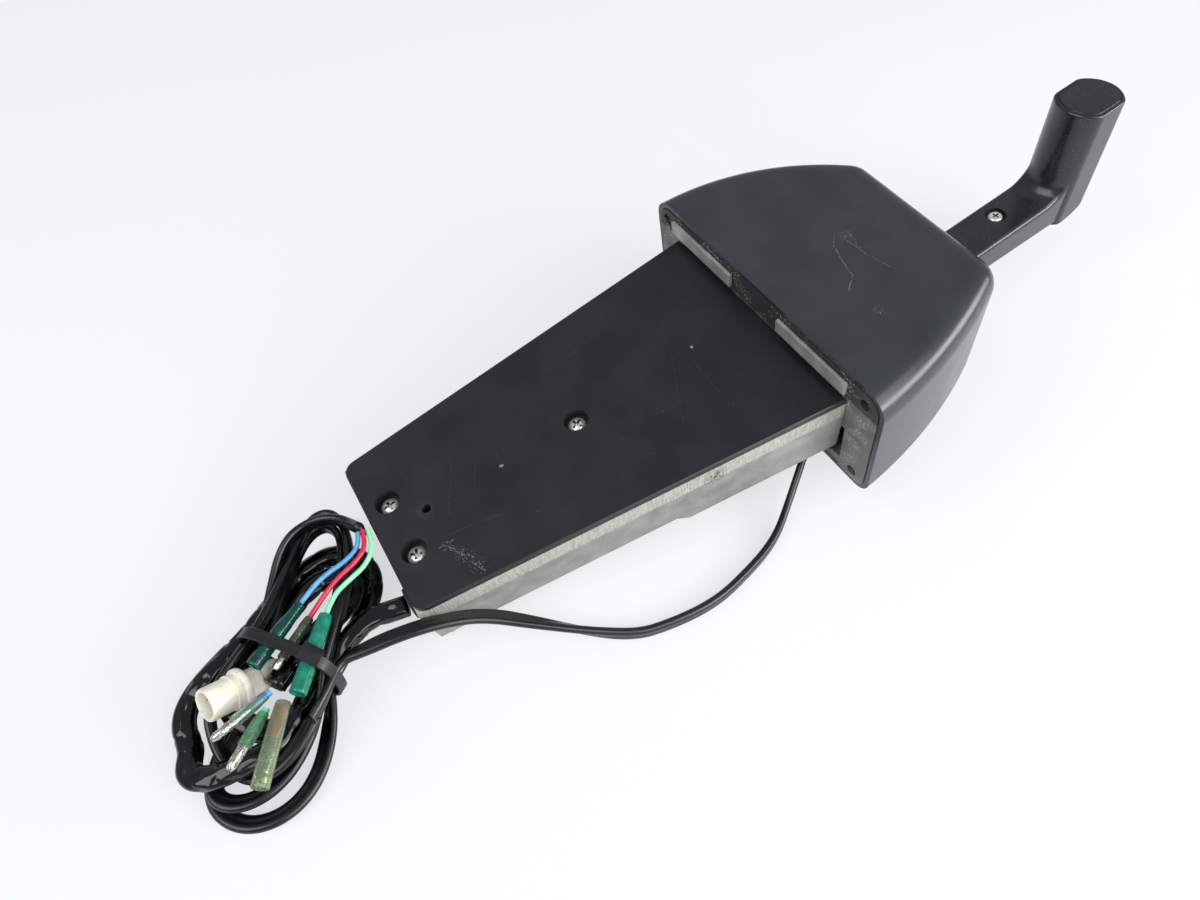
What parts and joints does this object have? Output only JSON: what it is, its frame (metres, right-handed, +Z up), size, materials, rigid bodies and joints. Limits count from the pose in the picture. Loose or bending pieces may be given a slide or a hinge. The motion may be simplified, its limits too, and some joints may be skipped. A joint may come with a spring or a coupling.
{
  "type": "boat throttle control lever",
  "caption": "Lever control for an outboard motor, with a tapered cast case below its flange, a domed cover, a side lever with upright grip, and tied leads with bullet connectors.",
  "frame": {"origin": "centre of the control's bounding box, on the surface that it lies on", "axes": "+Z up, +X from the cable end along the case towards the lever's grip"},
  "size_m": [0.5295, 0.1664, 0.1029],
  "materials": {
    "cover_black": "satin black paint",
    "plate_black": "matte black paint, scratched",
    "cast_aluminium": "die cast, ground band, dull",
    "lever_black": "satin black moulding",
    "switch_black": "smooth black",
    "stainless": "bright stainless",
    "gear_steel": "machined steel",
    "pin_steel": "bright plated",
    "bronze": "sintered bronze",
    "seal_rubber": "black rubber",
    "pad_plastic": "natural acetal",
    "cord_black": "black vinyl",
    "tie_black": "black nylon",
    "wire_blue": "blue vinyl",
    "wire_red": "red vinyl",
    "wire_green": "light green vinyl",
    "sleeve_green": "tinted clear vinyl",
    "sleeve_clear": "clear vinyl, cloudy",
    "tinned": "tinned brass, crimped",
    "nylon_cream": "yellowed nylon"
  },
  "bodies": {
    "housing": {"mechanism_case": "cast_aluminium", "cover_plate": "plate_black", "cover_screws": "stainless", "lever_bracket": "cast_aluminium", "bracket_bolts": "stainless", "housing_cover": "cover_black", "hub_seal": "seal_rubber", "lower_bush": "bronze", "upper_bush": "bronze", "gear_stud": "gear_steel", "stud_clip": "pin_steel", "cable_retainer": "pin_steel", "detent_ball": "gear_steel", "detent_spring": "pin_steel", "detent_plug": "gear_steel", "friction_pad": "pad_plastic", "friction_screw": "gear_steel", "neutral_switch": "switch_black", "switch_screws": "stainless", "trim_grommet": "seal_rubber", "harness_grommet": "seal_rubber", "trim_lead": "cord_black", "harness_lead": "cord_black", "lead_end": "cord_black", "cord_hank": "cord_black", "cable_tie": "tie_black", "wire_blue": "wire_blue", "wire_red": "wire_red", "wire_green": "wire_green", "female_sleeves": "sleeve_green", "male_sleeves": "sleeve_clear", "bullet_terminals": "tinned", "connector_shell": "nylon_cream", "connector_pins": "tinned"},
    "lever": {"main_shaft": "gear_steel", "drive_gear": "gear_steel", "drive_key": "gear_steel", "spacer_tube": "gear_steel", "shaft_clip": "pin_steel", "lever_arm": "lever_black", "lever_cover": "lever_black", "arm_screw": "stainless", "hub_set_screw": "stainless", "grip_cap": "lever_black", "switch_bezel": "lever_black", "rocker_pin": "stainless", "button_spring": "pin_steel"},
    "gear": {"driven_gear": "gear_steel", "gear_bush": "bronze", "shift_arm": "gear_steel", "throttle_arm": "gear_steel", "shift_pin": "pin_steel", "throttle_pin": "pin_steel", "arm_rivets": "gear_steel"},
    "rocker": {"trim_rocker": "switch_black"},
    "button": {"free_throttle_button": "switch_black"},
    "plunger": {"switch_plunger": "switch_black"}
  },
  "joints": [
    {"name": "lever_swing", "type": "hinge", "parent": "housing", "child": "lever", "pos_m": [0.0159, 0.00273, 0.04311], "axis": [-0.1734, 0, 0.9849], "range_deg": [-65, 75]},
    {"name": "gear_turn", "type": "hinge", "parent": "housing", "child": "gear", "pos_m": [-0.04921, 0.00273, 0.04383], "axis": [-0.1734, 0, 0.9849], "range_deg": [-52, 52]},
    {"name": "trim_rock", "type": "hinge", "parent": "lever", "child": "rocker", "pos_m": [0.18283, 0.01233, 0.02762], "axis": [-0.0584, 0.9982, -0.0103], "range_deg": [-7, 7], "stiffness_Nm_per_rad": 0.03},
    {"name": "free_throttle_press", "type": "slide", "parent": "lever", "child": "button", "axis": [-0.1734, 0, 0.9849], "range_m": [0, 0.003], "stiffness_N_per_m": 900, "springref_m": -0.001, "deforming": ["button_spring"]},
    {"name": "switch_press", "type": "slide", "parent": "housing", "child": "plunger", "axis": [0, -1, 0], "range_m": [0, 0.0015], "stiffness_N_per_m": 400, "springref_m": -0.0005}
  ],
  "couplings": [
    {"joint": "gear_turn", "follows": "lever_swing", "ratio": -0.68421}
  ]
}
